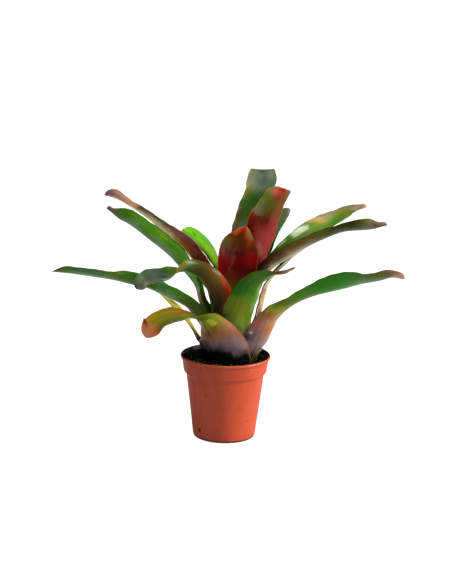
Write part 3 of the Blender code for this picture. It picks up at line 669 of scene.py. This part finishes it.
        name="green_left_leaf", slot="green_leaf", azimuth=170, opens=(5, 45),
        spine=[
            (37, 167.5), (44.5, 182.5), (49.5, 200, -0.5), (61.5, 215.5, -0.5), (83, 239, -0.5),
            (110.5, 260), (138, 280, -1), (155, 289, -0.5), (171.5, 299, -3),
        ],
        half="0 7, 15 22, 33 14, 65 29, 91 21, 97 7.5, 100 6.5", cup="0 40, 35 60, 100 40",
        roll="0 0, 40 2, 52 31, 70 31, 100 42", margin="umber",
        upper="20 drab, 30 leaf, 34.5 rust, 38 lime, 50 meadow, 90 leaf, 100 clay",
        # The pale celadon and sage down the middle of the lower face, 46 to 90 percent, and its sage
        # patch are a painted sheen: the white table mirrored in the gloss.
        lower="20 olive, 30 tan, 38 cream, 46 celadon, 54 fern, 60 sage, 68 sage, 76 meadow, 83 sage, "
        "90 fern, 95.5 moss, 97.5 clay, 100 mauve",
        lower_left="25 drab, 30 straw, 36 cream, 41 sage, 46 lime, 62 lime, 70 acid, 76 lime, 84 lime, "
        "92 meadow, 95.5 fern, 97.5 clay, 100 mauve",
        lower_patches=[(0.71, 0.4, 0.035, 0.3, "sage", 0.5)],
    ),
    dict(
        name="narrow_right_leaf", slot="bronze_leaf", azimuth=0, opens=(5, 45),
        spine=[
            (37.5, 162, -0.5), (42.5, 185), (47.5, 206), (57, 222, 0.5), (70.5, 235.5, 0.5),
            (81, 246, 0.5), (89.5, 253, 0.5), (96.5, 257.5, 0.5),
        ],
        half="0 7, 15 24, 40 18.5, 65 8.5, 90 9, 100 1.5", cup="0 40, 30 30, 55 60, 100 40",
        margin="bone",
        upper="20 brown, 35 citron, 50 rust, 60 straw, 70 olive, 80 olive, 90 tan, 100 cream",
        lower="20 plum, 38 clay, 44 tan, 50 cream, 56 tan, 63 cream, 68 grey, 75 tan, 83 grey, 100 bone",
        lower_right="25 plum, 40 olive, 45 clay, 51 tan, 57 clay, 62 straw, 68 sage, 75 olive, "
        "83 grey, 100 bone",
    ),
    dict(
        name="folded_front_leaf", slot="green_leaf", azimuth=-70, opens=(15, 45),
        spine=[
            (36, 155, -5.5), (38.5, 176.5, -1), (44, 195.5, 4.5), (49, 212.5, 10), (57.5, 224, 20),
            (68, 232, 30.5), (80.5, 236, 40.5), (90.5, 245.5, 51.5),
        ],
        half="0 7, 12 20.5, 30 21.5, 50 25, 66 19, 78 15.5, 88 7.5, 100 2", cup="0 40, 35 50, 100 60",
        margin="russet", upper="20 citron, 50 leaf, 75 bottle, 84 tan, 92 clay, 100 ash",
        # Ink and umber at the foot, 26 percent, are painted shade.
        lower="26 ink, 32 olive, 38 moss, 44 avocado, 52 avocado, 57 leaf, 63 bottle, 70 leaf, "
        "78 fern, 84 moss, 88 tan, 93 clay, 97 cream, 100 ash",
        lower_left="28 tan, 33 khaki, 38 citron, 46 meadow, 56 fern, 64 fern, 72 moss, 82 khaki, "
        "90 clay, 100 ash",
        lower_right="26 umber, 36 forest, 42 drab, 47 avocado, 53 avocado, 58 bottle, 66 bottle, "
        "75 leaf, 83 leaf, 87 bronze, 91 clay, 97 mauve, 100 ash",
        # The sage patch is a painted highlight.
        lower_patches=[(0.5, 0.5, 0.05, 0.2, "sage", 0.3)],
    ),
    dict(
        name="long_left_leaf", slot="green_leaf", azimuth=-170, opens=(5, 35),
        spine=[
            (40, 150.5), (49, 165), (60, 178, -0.5), (84.5, 192, -1), (112, 206, -2),
            (152.5, 214, -2.5), (192, 221, -2.5), (217.5, 226, -1.5), (236.5, 228.5, 1),
        ],
        half="0 7, 12 28.5, 35 18.5, 60 17, 75 27, 90 17.5, 96 10.5, 100 1", cup="0 40, 35 50, 100 40",
        roll="0 0, 30 25, 60 42, 75 12, 88 20, 100 38", margin="drab", point=3.5,
        upper="20 olive, 40 leaf, 90 leaf, 96 clay, 100 plum",
        lower="20 clay, 28 rust, 32 olive, 38 fern, 46 sage, 52 leaf, 62 leaf, 70 fern, 84 sage, "
        "95 fern, 97.5 tan, 100 plum",
        lower_left="26 forest, 31 leaf, 42 meadow, 48 emerald, 53 sea, 63 bottle, 70 leaf, 76 fern, "
        "84 sea, 96 leaf, 98 plum",
        lower_patches=[(0.36, 0.3, 0.06, 0.4, "olive", 0.5)],
    ),
    dict(
        name="rear_leaf_a", slot="green_leaf", azimuth=78, opens=(5, 35),
        spine=[(42, 145), (55, 158), (80, 168), (108, 172), (134, 164)],
        half="0 7, 15 26, 35 17, 65 18, 90 12, 100 1.5", cup="0 40, 35 50, 100 30", margin="bronze",
        upper="20 citron, 40 leaf, 75 meadow, 92 bronze, 100 clay",
        lower="15 ink, 25 mauve, 36 olive, 50 leaf, 85 meadow, 94 bronze, 100 clay",
    ),
    dict(
        name="rear_leaf_b", slot="green_leaf", azimuth=106, opens=(5, 35),
        spine=[(44, 140), (56, 150), (80, 156), (106, 154), (126, 142)],
        half="0 7, 15 26, 35 17, 65 17, 90 12, 100 1.5", cup="0 40, 35 50, 100 30", margin="bronze",
        upper="20 citron, 45 leaf, 80 olive, 94 salmon, 100 clay",
        lower="20 ink, 30 plum, 40 olive, 55 leaf, 85 olive, 94 salmon, 100 clay",
    ),
    dict(
        name="old_leaf", slot="yellow_leaf", azimuth=160, opens=(5, 20),
        spine=[
            (45, 125.5), (55.5, 139.5), (65, 150, -1), (79.5, 163.5, -1.5), (91.5, 173, -1.5),
            (104, 183, -1.5),
        ],
        half="0 7, 20 15.5, 50 5.5, 80 10, 100 2", cup="0 40, 50 30, 100 40", margin="cream",
        # Ink at the foot of each face, and the slate by it on the left, are painted shade.
        specks=0.22, upper="40.5 ink, 44 tan, 48 straw, 53 sulphur",
        upper_left="38 ink, 42 slate, 45 cream",
        upper_right="40 ink, 45 tan, 55 sulphur, 75 sulphur, 85 citron, 100 sulphur",
        lower="30 ink, 38 umber, 45 tan, 70 citron, 100 sulphur",
    ),
    dict(
        name="long_right_leaf", slot="green_leaf", azimuth=-25, opens=(-8, 15),
        spine=[
            (47, 130.5, 0.5), (55, 150, -0.5), (62, 165, -1.5), (83, 186.5, -4), (114, 205.5, -5.5),
            (151, 220.5, -3.5), (178.5, 229, -2), (205, 236, -2.5), (222, 242.5, -1), (237.5, 242, 3),
        ],
        half="0 7, 12 34, 25 31.5, 36 25.5, 48 16, 65 23, 78 29, 92 21, 97 14, 100 7.5",
        cup="0 40, 15 75, 30 60, 100 30", roll="0 0, 30 -14, 50 -22, 68 -31, 80 -22, 92 -17, 100 -42",
        margin="bronze", upper="20 citron, 40 leaf, 85 leaf, 94 bronze, 98 salmon",
        # Ink near the foot, 14 percent, is painted shade. The pale celadon and sage on the lower face's
        # left, 50 to 88 percent, are a painted sheen: the white table mirrored along that edge.
        lower="14 ink, 18 mauve, 23 mauve, 29 copper, 35 tan, 41 citron, 47 fern, 56 fern, 62 emerald, "
        "77 emerald, 83 fern, 88 lichen, 93 bronze, 97 salmon",
        lower_left="16 mauve, 25 straw, 40 straw, 50 celadon, 60 celadon, 70 fern, 80 sage, "
        "88 celadon, 95 salmon",
        lower_right="14 ink, 19 plum, 24 plum, 28 mauve, 32 clay, 36 copper, 40 citron, 45 avocado, "
        "52 meadow, 60 emerald, 78 emerald, 84 leaf, 89 moss, 93.5 olive, 96 clay, 100 salmon",
        lower_patches=[
            (0.275, -0.8, 0.006, 0.05, "bone", 0.9), (0.31, -0.7, 0.02, 0.25, "crimson", 0.35),
        ],
    ),
    dict(
        name="front_leaf", slot="bronze_leaf", azimuth=-112, opens=(5, 35),
        spine=[
            (43, 135, -0.5), (45, 150.5, -7), (48.5, 164, -20.5), (61, 171, -37.5), (78, 172, -51),
            (94, 170, -63), (107, 162.5, -70), (112.5, 160, -79.5),
        ],
        half="0 8, 15 41, 32 40.5, 44 25.5, 60 13, 75 18.5, 90 14.5, 97 18.5, 100 7",
        cup="0 40, 40 30, 60 45, 100 15", roll="0 0, 48 4, 62 -19, 100 -8", margin="copper", point=0.8,
        upper="40 citron, 58 leaf, 64 fern, 70 olive, 82 olive, 88 amber, 94 copper",
        upper_left="55 leaf, 64 sage, 70 leaf, 76 lichen, 82 olive, 89 olive, 93 rust, 100 clay",
        upper_right="55 leaf, 60 moss, 64 rust, 70 orange, 76 amber, 85 amber, 90 orange, 94 rust, "
        "100 copper",
        # Ink near the foot, with slate beside it, 25 to 33 percent, is painted shade.
        lower="28 ink, 32 plum, 36 mauve, 41 copper, 45 amber, 50 citron, 55 avocado, 62 leaf, "
        "80 olive, 100 salmon",
        lower_left="25 ink, 29 plum, 33 mauve, 39 clay, 43 tan, 46 citron, 52 avocado, 60 leaf, "
        "100 salmon",
        lower_right="28 ink, 33 slate, 38 mauve, 46 clay, 50 salmon, 54 bone, 60 leaf, 100 salmon",
        # The bone patch along the right edge, and bone at 54 percent on the right, are a painted
        # highlight.
        lower_patches=[
            (0.45, -0.3, 0.06, 0.09, "blood", 0.6), (0.44, -0.97, 0.1, 0.17, "bone", 0.6),
            (0.33, 0.5, 0.05, 0.25, "mauve", 0.5), (0.485, 0.25, 0.03, 0.2, "sulphur", 0.45),
            (0.42, 0.85, 0.06, 0.2, "rose", 0.25),
        ],
    ),
    dict(
        name="dry_scale", slot="dry_leaf", azimuth=-40, opens=(-6, 6),
        spine=[(45, 119), (49, 124), (54, 129)],
        half="0 5, 40 8, 75 5, 100 1.5", cup="0 30, 100 30", margin="tan", specks=0.3,
        upper="40 brown, 80 tan, 100 straw",
        lower="60 ink, 68 umber, 75 drab, 81 olive, 87 khaki, 93 tan, 100 straw",
    ),
]


def stations(text, read):
    """Pairs written as 'percent value, percent value', as a list of (share, value)."""
    pairs = [pair.split() for pair in text.split(", ")]
    return [(float(percent) / 100, read(value)) for percent, value in pairs]


def leaf_surface(leaf, rank):
    """A leaf's middle layer as a grid of points, rows along and columns across, with the distance
    along and the half width of each row, and how far each row is free of the sheath."""
    sheath = sheath_points(rank)
    spine = [(p[0], p[2] if len(p) > 2 else 0, p[1]) for p in leaf["spine"]]
    rows = round(even_path(sheath + spine, 8)[1] / LEAF_STEP)
    middle, length = even_path(sheath + spine, rows)

    along = unit(np.gradient(middle, axis=0))
    across = unit(np.array([0.0, 1.0, 0.0]) - along[:, 1:2] * along)
    upper = np.cross(along, across)
    share = np.linspace(0, 1, rows + 1)
    half = np.maximum(through(stations(leaf["half"], float), share), NARROWEST)
    tip = TIP_ROUNDING * half[-1, 0] / length
    ending = np.clip((share - 1 + tip) / tip, 0, 1)[:, None]
    half = half * np.sqrt(1 - 0.6 * ending**2)
    cup = np.radians(through(stations(leaf["cup"], float), share))
    roll = np.radians(through(stations(leaf.get("roll", "0 0, 100 0"), float), share))
    turned_across = across * np.cos(roll) + upper * np.sin(roll)
    turned_upper = upper * np.cos(roll) - across * np.sin(roll)

    start, end = (sheath[-1][2] + rise for rise in leaf["opens"])
    opened = np.clip((middle[:, 2] - start) / (end - start), 0, 1)
    opened = np.maximum.accumulate(opened * opened * (3 - 2 * opened))[:, None]

    # The free blade: each cross-section is an arc. Its margins are nicked and ruffled
    run = share[:, None] * length
    side = np.linspace(-1, 1, LEAF_COLUMNS + 1)
    phase = 1.9 * rank + np.where(side > 0, 0.8, 0.0)
    uneven = np.sin(run / 4.9 + 2 * phase) + 0.7 * np.sin(run / 2.3 + phase) + 0.5 * np.sin(run / 8.7)
    free = opened * np.minimum(1, half / RUFFLED_FROM)
    width = half + leaf.get("nicks", 0.3) * free * side**2 * uneven * 0.5
    bend = cup * side
    wave = np.sin(run / 6.1 + phase) + 0.6 * np.sin(run / 2.9 + 2.3 * phase)
    arc_out = (width / cup * np.sin(bend))[:, :, None] * turned_across[:, None, :]
    arc_up = (width / cup * (1 - np.cos(bend)) + RUFFLE * free * np.abs(side)**3 * wave)
    blade = middle[:, None, :] + arc_out + arc_up[:, :, None] * turned_upper[:, None, :]

    # The sheath: the same width wrapped round the plant's axis
    radius = np.hypot(middle[:, 0], middle[:, 1])[:, None]
    angle = np.arctan2(middle[:, 1], middle[:, 0])[:, None] + half / radius * side
    height = np.broadcast_to(middle[:, 2:3], angle.shape)
    wrapped = np.stack([radius * np.cos(angle), radius * np.sin(angle), height], axis=2)
    surface = wrapped * (1 - opened[:, :, None]) + blade * opened[:, :, None]
    return surface, run[:, 0], half[:, 0], opened[:, 0]


def leaf_body(leaf, rank):
    """A closed blade: the surface copied out to both faces, then its spines and its dried point.
    Each vertex keeps where it is on the leaf, in metres and as shares."""
    surface, run, half, opened = leaf_surface(leaf, rank)
    rows, columns = surface.shape[0] - 1, surface.shape[1] - 1
    forward, sideways = np.gradient(surface, axis=0), np.gradient(surface, axis=1)
    normal = unit(np.cross(forward, sideways))
    bm = bmesh.new()
    bmesh.ops.create_grid(bm, x_segments=rows, y_segments=columns, size=0.5)
    blade_layer = bm.verts.layers.float_vector.new("blade")
    share_layer = bm.verts.layers.float_vector.new("share")

    def mark(vert, row, across, upper):
        vert[blade_layer] = (run[row] * MM, across * half[row] * MM, 0)
        vert[share_layer] = (row / rows, across, upper)

    for vert in bm.verts:
        mark(vert, round((vert.co.x + 0.5) * rows), vert.co.y * 2, 0)
    lower = list(bm.verts)
    shell = bmesh.ops.extrude_face_region(bm, geom=bm.faces)
    upper = [item for item in shell["geom"] if isinstance(item, bmesh.types.BMVert)]
    for verts, face in ((lower, 0), (upper, 1)):
        for vert in verts:
            row = round(vert[share_layer][0] * rows)
            column = round((vert[share_layer][1] + 1) / 2 * columns)
            inward = 1 - abs(vert[share_layer][1])**3
            thick = MARGIN_THICKNESS + (LEAF_THICKNESS - MARGIN_THICKNESS) * inward
            vert.co = surface[row, column] + (face - 0.5) * thick * normal[row, column]
            vert[share_layer][2] = face
    bmesh.ops.recalc_face_normals(bm, faces=bm.faces)

    def thorn(root, aim, radius, length, row, across):
        turn = Vector((0, 0, 1)).rotation_difference(Vector(aim)).to_matrix().to_4x4()
        seat = Matrix.Translation(Vector(root) + Vector(aim) * length * 0.4) @ turn
        cone = bmesh.ops.create_cone(
            bm, cap_ends=True, segments=4, radius1=radius, radius2=0.03, depth=length, matrix=seat,
        )
        for vert in cone["verts"]:
            mark(vert, row, across, 1)

    gap = round(SPINE_SPACING / LEAF_STEP * 2) / 2
    for column, sign in ((0, -1), (columns, 1)):
        for step in np.arange(2, rows * 0.96, gap):
            row = int(step)
            if opened[row] > 0.9:
                outward = unit(sign * sideways[row, column])
                aim = unit(outward + 0.7 * unit(forward[row, column]))
                thorn(surface[row, column], aim, SPINE_RADIUS, SPINE_LENGTH, row, sign)
    aim = unit(unit(forward[rows, columns // 2]) - 0.3 * normal[rows, columns // 2])
    thorn(surface[rows, columns // 2], aim, POINT_RADIUS, leaf.get("point", POINT_LENGTH), rows, 1)
    bmesh.ops.rotate(bm, matrix=Matrix.Rotation(math.radians(leaf["azimuth"]), 3, "Z"), verts=bm.verts)
    bmesh.ops.translate(bm, vec=(PLANT_X, PLANT_Y, 0), verts=bm.verts)
    return bm


def painted(tree, leaf, face, along, across):
    """The colour of one face: ramps along its middle and sides, then patches."""
    def ramp(name):
        return add(tree, "ValToRGB", {0: along}, stops=stations(leaf[name], PIGMENTS.get))

    color = ramp(face)
    for side, sign in (("_left", 1), ("_right", -1)):
        if face + side in leaf:
            share = add(
                tree, "MapRange", {0: across, 1: 0.05 * sign, 2: 0.85 * sign},
                interpolation_type="SMOOTHSTEP",
            )
            color = add(tree, "Mix", {0: share, 6: color, 7: ramp(face + side)}, data_type="RGBA")
    spot = add(tree, "CombineXYZ", {0: along, 1: across})
    for place, side, length, width, pigment, strength in leaf.get(face + "_patches", ()):
        within = add(
            tree, "Mapping", {0: spot, "Location": (place, side, 0), "Scale": (length, width, 1)},
            vector_type="TEXTURE",
        )
        away = add(tree, "VectorMath", {0: within}, operation="LENGTH")
        share = add(
            tree, "MapRange", {0: away, 1: 1.25, 2: 0.5, 4: strength}, interpolation_type="SMOOTHSTEP",
        )
        dye = linear(PIGMENTS[pigment])
        color = add(tree, "Mix", {0: share, 6: color, 7: dye}, data_type="RGBA")
    return color


def leaf_skin(leaf):
    """A waxy cuticle over soft tissue: glossy, finely ribbed along its veins, with pigment that
    drifts along and across the blade."""
    material, tree, shader = finish(leaf["name"] + "_cuticle", IOR=1.42, Specular_IOR_Level=0.2)
    blade = add(tree, "Attribute", attribute_name="blade").outputs["Vector"]
    share = add(tree, "Attribute", attribute_name="share").outputs["Vector"]
    share = add(tree, "SeparateXYZ", {0: share})
    drift = add(tree, "Mapping", {"Vector": blade, "Scale": (44, 70, 1)})                 # 23 by 14 mm
    blotch = add(
        tree, "TexNoise", {"Vector": drift, "Scale": 1, "Detail": 2.5, "Roughness": 0.5},
        normalize=False,
    )
    shift = add(tree, "SeparateColor", {0: blotch.outputs["Color"]})
    along = add(tree, "Math", {0: shift, 1: 0.035, 2: share}, operation="MULTIPLY_ADD")
    across = add(
        tree, "Math", {0: shift.outputs[1], 1: 0.22, 2: share.outputs[1]}, operation="MULTIPLY_ADD",
    )
    below = painted(tree, leaf, "lower", along, across)
    above = painted(tree, leaf, "upper", along, across)
    color = add(tree, "Mix", {0: share.outputs[2], 6: below, 7: above}, data_type="RGBA")

    # Veins run the length of the blade: fine ones 1 mm apart, and broad bands of 4 mm
    thread = add(tree, "Mapping", {"Vector": blade, "Scale": (18, 950, 1)})
    veins = add(tree, "TexNoise", {"Vector": thread, "Scale": 1, "Detail": 3})
    strip = add(tree, "Mapping", {"Vector": blade, "Scale": (9, 240, 1)})
    bands = add(tree, "TexNoise", {"Vector": strip, "Scale": 1, "Detail": 2})
    fine = add(tree, "MapRange", {0: veins, 1: 0.3, 2: 0.7, 3: 0.88, 4: 1.12})
    broad = add(tree, "MapRange", {0: bands, 1: 0.3, 2: 0.7, 3: 0.9, 4: 1.12})
    shade = add(tree, "Math", {0: fine, 1: broad}, operation="MULTIPLY")
    veined = add(tree, "VectorMath", {0: color, "Scale": shade}, operation="SCALE")

    # Dark freckles of 0.5 to 1 mm
    dots = add(tree, "TexVoronoi", {"Vector": blade, "Scale": 260, "Randomness": 1.0})
    near = add(tree, "MapRange", {0: dots, 1: 0.14, 2: 0.26, 3: 0.75, 4: 0.0})
    pick = add(tree, "SeparateColor", {0: dots.outputs["Color"]})
    chosen = add(tree, "Math", {0: pick, 1: leaf.get("specks", 0.03)}, operation="LESS_THAN")
    freckle = add(tree, "Math", {0: near, 1: chosen}, operation="MULTIPLY")
    umber = linear(PIGMENTS["umber"])
    freckled = add(tree, "Mix", {0: freckle, 6: veined, 7: umber}, data_type="RGBA")

    edge = add(tree, "Math", {0: share.outputs[1]}, operation="ABSOLUTE")
    rim = add(tree, "MapRange", {0: edge, 1: 0.93, 2: 0.99, 4: 0.7})
    rimmed = linear(PIGMENTS[leaf.get("margin", "bronze")])
    skin = add(tree, "Mix", {0: rim, 6: freckled, 7: rimmed}, data_type="RGBA")

    gloss = add(tree, "MapRange", {0: blotch, 1: -0.5, 2: 0.5, 3: 0.17, 4: 0.31})
    ribs = add(tree, "Math", {0: bands, 1: 1.5, 2: veins}, operation="MULTIPLY_ADD")
    bump = add(tree, "Bump", {"Strength": 0.5, "Distance": 0.0003, "Height": ribs})
    wire(shader, {"Base Color": skin, "Roughness": gloss, "Normal": bump})
    return material


for rank, leaf in enumerate(LEAVES):
    piece = place(leaf_body(leaf, rank), leaf["name"] + "_blade", leaf_skin(leaf), sharp=50)
    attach(piece, "root")
    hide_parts(leaf["name"])

# Studio. A seamless white table under a big soft light to the right, a wide one overhead, and a
# camera with a long lens that looks 13.4 degrees down, rolled a little, as in the photograph.
CAMERA_SPOT = (-1.13, -2184.56, 717.5)
CAMERA_TILT = 13.4
CAMERA_ROLL = 1.2
PIXELS_HIGH = 584
FOCAL_PIXELS = 1700.0
SENSOR = 36.0
FLOOR = 30.0
TABLE_GLOW = 0.9              # the lit table and the room as the lens sees them,
ROOM_GLOW = 1.0
TABLE_LIGHT = 0.0             # as they light the plant,
ROOM_LIGHT = 0.42
TABLE_MIRRORED = 0.05         # and as it mirrors them
ROOM_MIRRORED = 0.05
KEY = dict(energy=82.0, size=1.1, spot=(1.75, -0.25, 0.95))
OVERHEAD = dict(energy=18.0, size=1.4, spot=(-0.1, -0.5, 1.9))


def glow(tree, seen, lighting, mirrored):
    """The strength of a lit white surface: to the lens, as a light, and in a reflection."""
    ray = add(tree, "LightPath").outputs
    shown = add(tree, "Mix", {0: ray["Is Glossy Ray"], 2: seen, 3: mirrored})
    return add(tree, "Mix", {0: ray["Is Diffuse Ray"], 2: shown, 3: lighting})


table, tree, shader = finish("white_table", Roughness=0.8, Specular_IOR_Level=0.2)
wire(shader, {
    "Base Color": linear("#9B9B9B"), "Emission Color": linear("#FFFFFF"),
    "Emission Strength": glow(tree, TABLE_GLOW, TABLE_LIGHT, TABLE_MIRRORED),
})
bm = bmesh.new()
bmesh.ops.create_grid(bm, x_segments=1, y_segments=1, size=FLOOR / MM / 2)
floor = place(bm, "table", table)

world = bpy.data.worlds.new("white_room")
bpy.context.scene.world = world
world.use_nodes = True
tree = world.node_tree
wire(tree.nodes["Background"], {
    "Color": (1, 1, 1, 1), "Strength": glow(tree, ROOM_GLOW, ROOM_LIGHT, ROOM_MIRRORED),
})

for name, lamp in (("key", KEY), ("overhead", OVERHEAD)):
    light = bpy.data.lights.new(name, "AREA")
    light.shape = "SQUARE"
    light.size = lamp["size"]
    light.energy = lamp["energy"]
    holder = bpy.data.objects.new(name, light)
    holder.location = lamp["spot"]
    aim = Vector((0, 0, 0.18)) - holder.location
    holder.rotation_euler = aim.to_track_quat("-Z", "Y").to_euler()
    bpy.context.scene.collection.objects.link(holder)

lens = bpy.data.cameras.new("camera")
lens.sensor_width = SENSOR
lens.lens = FOCAL_PIXELS / PIXELS_HIGH * SENSOR
camera = bpy.data.objects.new("camera", lens)
tilt = Matrix.Rotation(math.radians(90 - CAMERA_TILT), 4, "X")
roll = Matrix.Rotation(math.radians(CAMERA_ROLL), 4, "Z")
camera.matrix_world = Matrix.Translation(Vector(CAMERA_SPOT) * MM) @ tilt @ roll
bpy.context.scene.collection.objects.link(camera)
bpy.context.scene.camera = camera
bpy.context.scene.view_settings.view_transform = "Standard"       # plain sRGB, as the photograph's white
